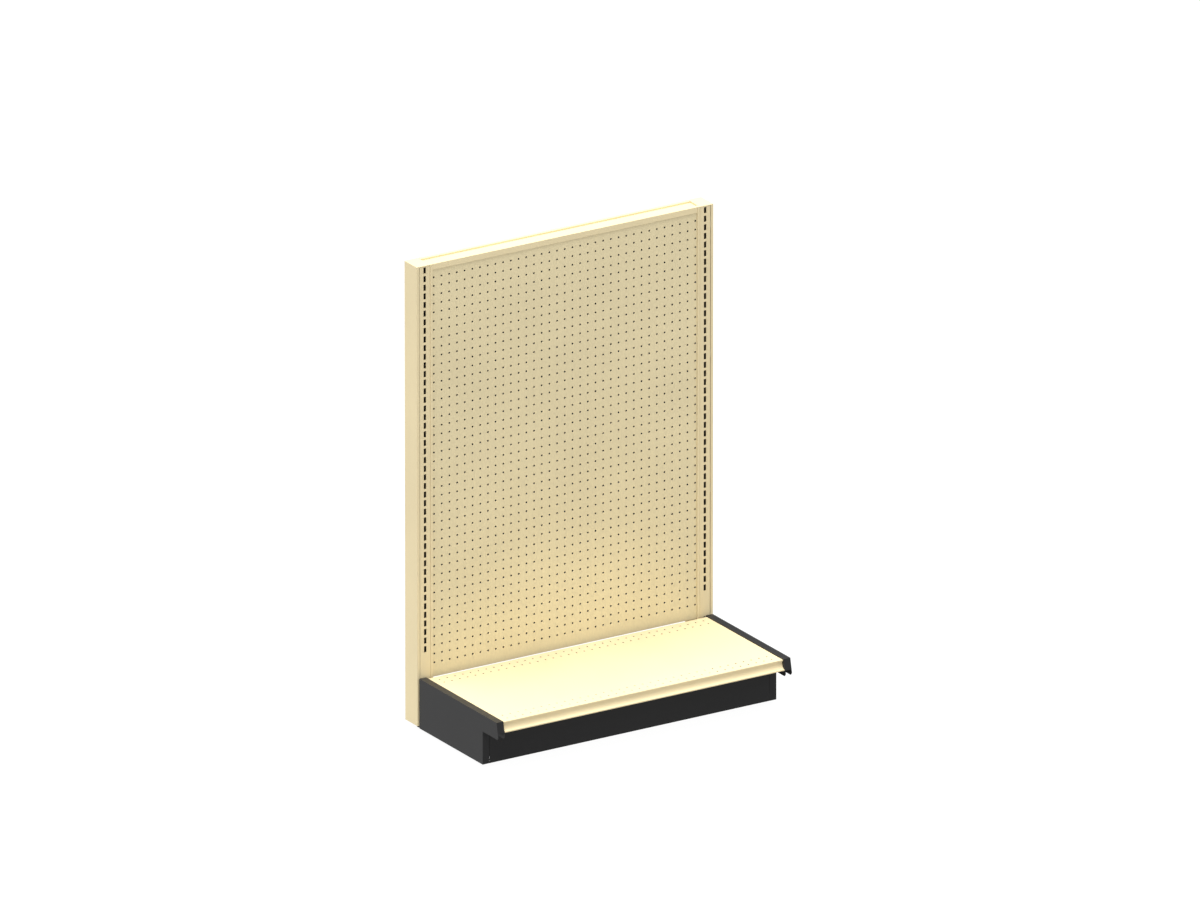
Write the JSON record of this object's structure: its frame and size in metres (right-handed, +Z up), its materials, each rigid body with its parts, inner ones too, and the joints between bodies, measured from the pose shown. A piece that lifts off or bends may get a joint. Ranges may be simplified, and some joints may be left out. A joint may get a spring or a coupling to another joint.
{
  "type": "gondola shelving unit",
  "caption": "Single-sided gondola wall unit: two slotted uprights, a perforated back panel, a lift-off base deck with a price channel, black base end covers and a kick plate.",
  "frame": {"origin": "centre of the unit's footprint, on the floor", "axes": "+Z up, +Y to the back, +X to the shopper's right as they face the unit"},
  "size_m": [0.9668, 0.483, 1.3716],
  "materials": {
    "cream_steel": "fine powder coat, satin",
    "cream_board": "painted perforated hardboard, satin",
    "black_plastic": "moulded, fine grain",
    "black_steel": "powder coat, satin",
    "zinc_steel": "zinc plated",
    "pad_nylon": "moulded nylon"
  },
  "bodies": {
    "frame": {"upright_left": "cream_steel", "upright_right": "cream_steel", "upright_cap_left": "cream_steel", "upright_cap_right": "cream_steel", "end_trim_left": "cream_steel", "end_trim_right": "cream_steel", "trim_clips": "zinc_steel", "front_top_rail": "cream_steel", "rear_top_rail": "cream_steel", "top_cover": "cream_steel", "centre_rail": "cream_steel", "bottom_rail": "cream_steel", "rail_screws": "zinc_steel", "peg_panel_lower": "cream_board", "peg_panel_upper": "cream_board", "rear_panel": "cream_board", "panel_rest_clips": "zinc_steel", "base_bracket_left": "black_steel", "base_bracket_right": "black_steel", "bracket_weld_nuts": "zinc_steel", "base_end_cover_left": "black_plastic", "base_end_cover_right": "black_plastic", "cover_screws": "zinc_steel", "upright_nut_plates": "zinc_steel", "lock_nuts": "zinc_steel"},
    "deck": {"deck": "cream_steel", "deck_stiffener_front": "cream_steel", "deck_stiffener_rear": "cream_steel"},
    "kick_plate": {"kick_plate": "black_steel", "kick_clips": "zinc_steel"},
    "pad_front_left": {"foot_pad_front_left": "pad_nylon"},
    "stem_front_left": {"foot_stem_front_left": "zinc_steel"},
    "pad_front_right": {"foot_pad_front_right": "pad_nylon"},
    "stem_front_right": {"foot_stem_front_right": "zinc_steel"},
    "pad_rear_left": {"foot_pad_rear_left": "pad_nylon"},
    "stem_rear_left": {"foot_stem_rear_left": "zinc_steel"},
    "pad_rear_right": {"foot_pad_rear_right": "pad_nylon"},
    "stem_rear_right": {"foot_stem_rear_right": "zinc_steel"}
  },
  "joints": [
    {"name": "deck_lift", "type": "slide", "parent": "frame", "child": "deck", "axis": [0, 0, 1], "range_m": [0, 0.12]},
    {"name": "kick_plate_pull", "type": "slide", "parent": "frame", "child": "kick_plate", "axis": [0, -1, 0], "range_m": [0, 0.1]},
    {"name": "foot_extend_front_left", "type": "slide", "parent": "frame", "child": "pad_front_left", "axis": [0, 0, -1], "range_m": [0, 0.02]},
    {"name": "stem_turn_front_left", "type": "hinge", "parent": "pad_front_left", "child": "stem_front_left", "pos_m": [-0.4372, -0.10785, 0.01], "axis": [0, 0, -1], "range_deg": [0, 4801]},
    {"name": "foot_extend_front_right", "type": "slide", "parent": "frame", "child": "pad_front_right", "axis": [0, 0, -1], "range_m": [0, 0.02]},
    {"name": "stem_turn_front_right", "type": "hinge", "parent": "pad_front_right", "child": "stem_front_right", "pos_m": [0.4372, -0.10785, 0.01], "axis": [0, 0, -1], "range_deg": [0, 4801]},
    {"name": "foot_extend_rear_left", "type": "slide", "parent": "frame", "child": "pad_rear_left", "axis": [0, 0, -1], "range_m": [0, 0.02]},
    {"name": "stem_turn_rear_left", "type": "hinge", "parent": "pad_rear_left", "child": "stem_rear_left", "pos_m": [-0.4522, 0.2092, 0.01], "axis": [0, 0, -1], "range_deg": [0, 4801]},
    {"name": "foot_extend_rear_right", "type": "slide", "parent": "frame", "child": "pad_rear_right", "axis": [0, 0, -1], "range_m": [0, 0.02]},
    {"name": "stem_turn_rear_right", "type": "hinge", "parent": "pad_rear_right", "child": "stem_rear_right", "pos_m": [0.4522, 0.2092, 0.01], "axis": [0, 0, -1], "range_deg": [0, 4801]}
  ],
  "couplings": [
    {"joint": "stem_turn_front_left", "follows": "foot_extend_front_left", "rad_per_m": 4188.8},
    {"joint": "stem_turn_front_right", "follows": "foot_extend_front_right", "rad_per_m": 4188.8},
    {"joint": "stem_turn_rear_left", "follows": "foot_extend_rear_left", "rad_per_m": 4188.8},
    {"joint": "stem_turn_rear_right", "follows": "foot_extend_rear_right", "rad_per_m": 4188.8}
  ]
}
